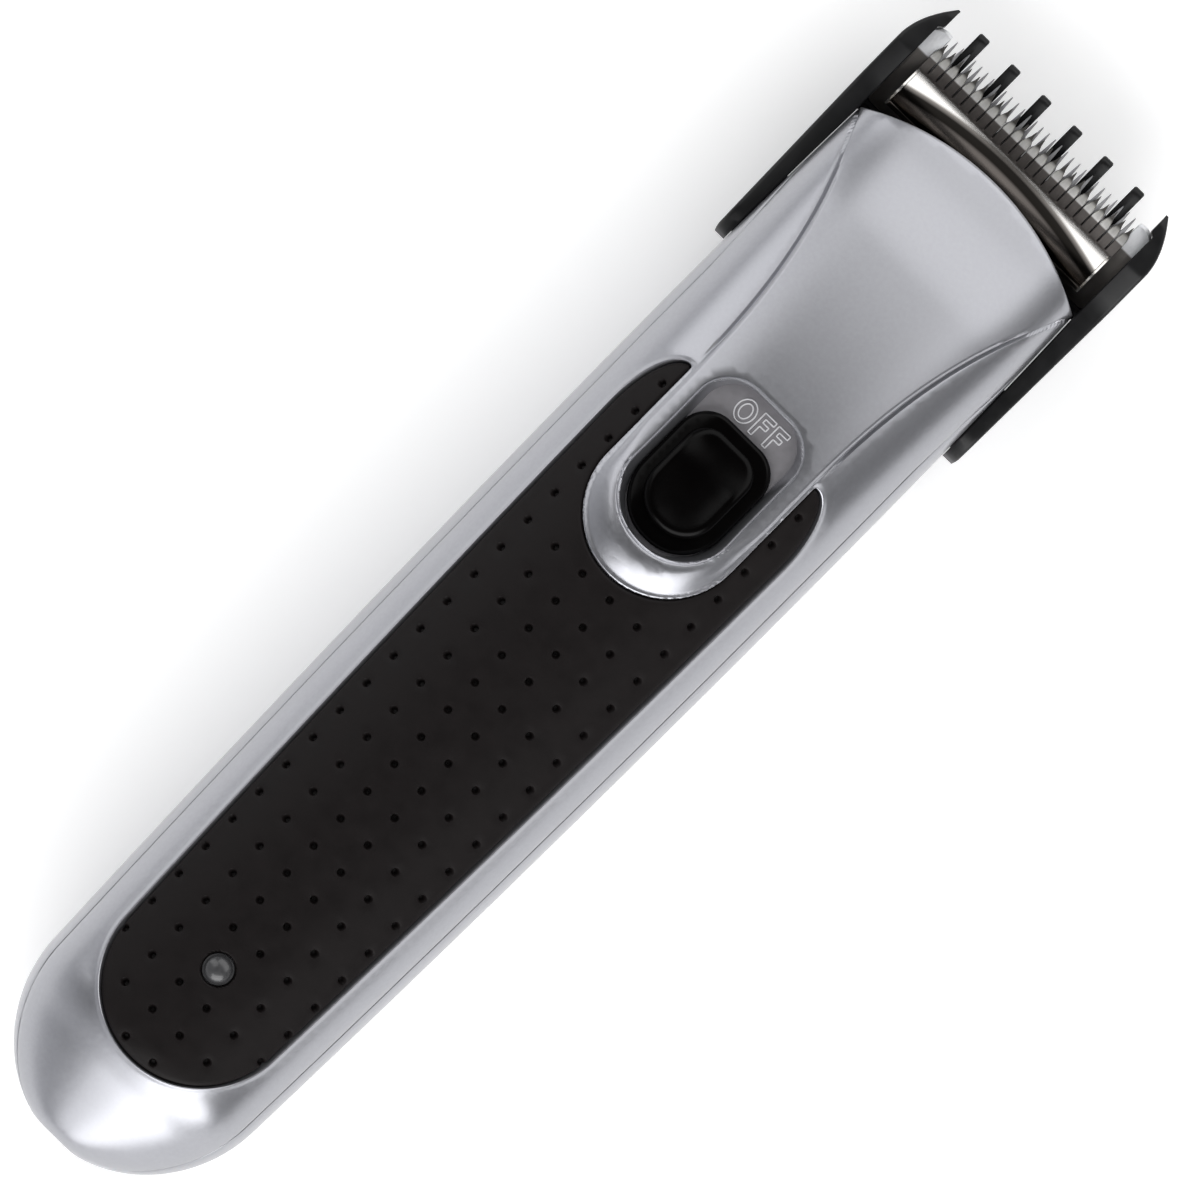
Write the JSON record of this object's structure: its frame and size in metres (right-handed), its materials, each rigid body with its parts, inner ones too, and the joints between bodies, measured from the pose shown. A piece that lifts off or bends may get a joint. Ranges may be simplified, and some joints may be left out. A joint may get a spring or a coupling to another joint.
{
  "type": "hair clipper",
  "caption": "Cordless hair clipper with a sliding thumb switch, a dimpled soft grip, a reciprocating steel cutter and a slide-on guide comb with side arms.",
  "frame": {"origin": "centre of the bottom of the bounding box, on the plane that the back rests on", "axes": "+Y along the body towards the blade tips, +Z out of the thumb side, +X across the body"},
  "size_m": [0.04, 0.1664, 0.0292],
  "materials": {
    "silver_shell": "satin silver paint",
    "soft_grip": "matte soft touch",
    "grey_plate": "satin",
    "black_button": "semi-gloss",
    "smoky_lens": "polished",
    "dark_plastic": "matte",
    "plated_pin": "plated",
    "screw_steel": "blackened",
    "blade_steel": "ground",
    "cutter_steel": "polished",
    "white_plastic": "moulded",
    "spring_steel": "drawn",
    "comb_plastic": "semi-gloss",
    "motor_steel": "zinc plated",
    "magnet_ferrite": "sintered",
    "lamination_steel": "stamped",
    "copper_wire": "enamelled",
    "copper_bar": "bare",
    "bronze_bush": "sintered",
    "brush_brass": "stamped",
    "shaft_steel": "ground",
    "battery_wrap": "shrink film",
    "nickel_strip": "nickel plated",
    "board_laminate": "solder mask",
    "component_black": "moulded",
    "led_epoxy": "clear epoxy",
    "lead_red": "smooth"
  },
  "bodies": {
    "housing": {"front_housing": "silver_shell", "rear_housing": "silver_shell", "grip_inlay": "soft_grip", "switch_plate": "grey_plate", "led_lens": "smoky_lens", "charging_socket": "dark_plastic", "socket_pin": "plated_pin", "housing_screws": "screw_steel", "blade_base": "dark_plastic", "fixed_blade": "blade_steel", "blade_screws": "screw_steel", "blade_spring": "spring_steel", "motor_can": "motor_steel", "motor_magnets": "magnet_ferrite", "motor_end_cap": "white_plastic", "motor_bushings": "bronze_bush", "motor_brushes": "brush_brass", "motor_terminals": "brush_brass", "motor_bracket": "dark_plastic", "motor_screws": "screw_steel", "bracket_screws": "screw_steel", "battery_cell": "battery_wrap", "battery_cap": "nickel_strip", "battery_tabs": "nickel_strip", "circuit_board": "board_laminate", "board_components": "component_black", "board_screws": "screw_steel", "slide_switch_body": "nickel_strip", "status_led": "led_epoxy", "charge_leads": "lead_red", "motor_leads": "lead_red"},
    "switch": {"switch_button": "black_button", "slide_switch_knob": "dark_plastic"},
    "comb": {"guide_comb": "comb_plastic"},
    "cutter": {"moving_blade": "cutter_steel", "cutter_driver": "white_plastic", "driver_rivets": "screw_steel"},
    "rotor": {"motor_shaft": "shaft_steel", "motor_armature": "lamination_steel", "motor_windings": "copper_wire", "motor_commutator": "copper_bar", "eccentric_cam": "white_plastic"}
  },
  "joints": [
    {"name": "switch_slide", "type": "slide", "parent": "housing", "child": "switch", "axis": [0, 1, 0], "range_m": [0, 0.004]},
    {"name": "comb_slide", "type": "slide", "parent": "housing", "child": "comb", "axis": [0, 1, 0], "range_m": [0, 0.012]},
    {"name": "cutter_slide", "type": "slide", "parent": "housing", "child": "cutter", "axis": [1, 0, 0], "range_m": [-0.001, 0.001]},
    {"name": "rotor_spin", "type": "hinge", "parent": "housing", "child": "rotor", "pos_m": [0, 0.03, 0.0125], "axis": [0, 1, 0], "continuous": true}
  ]
}
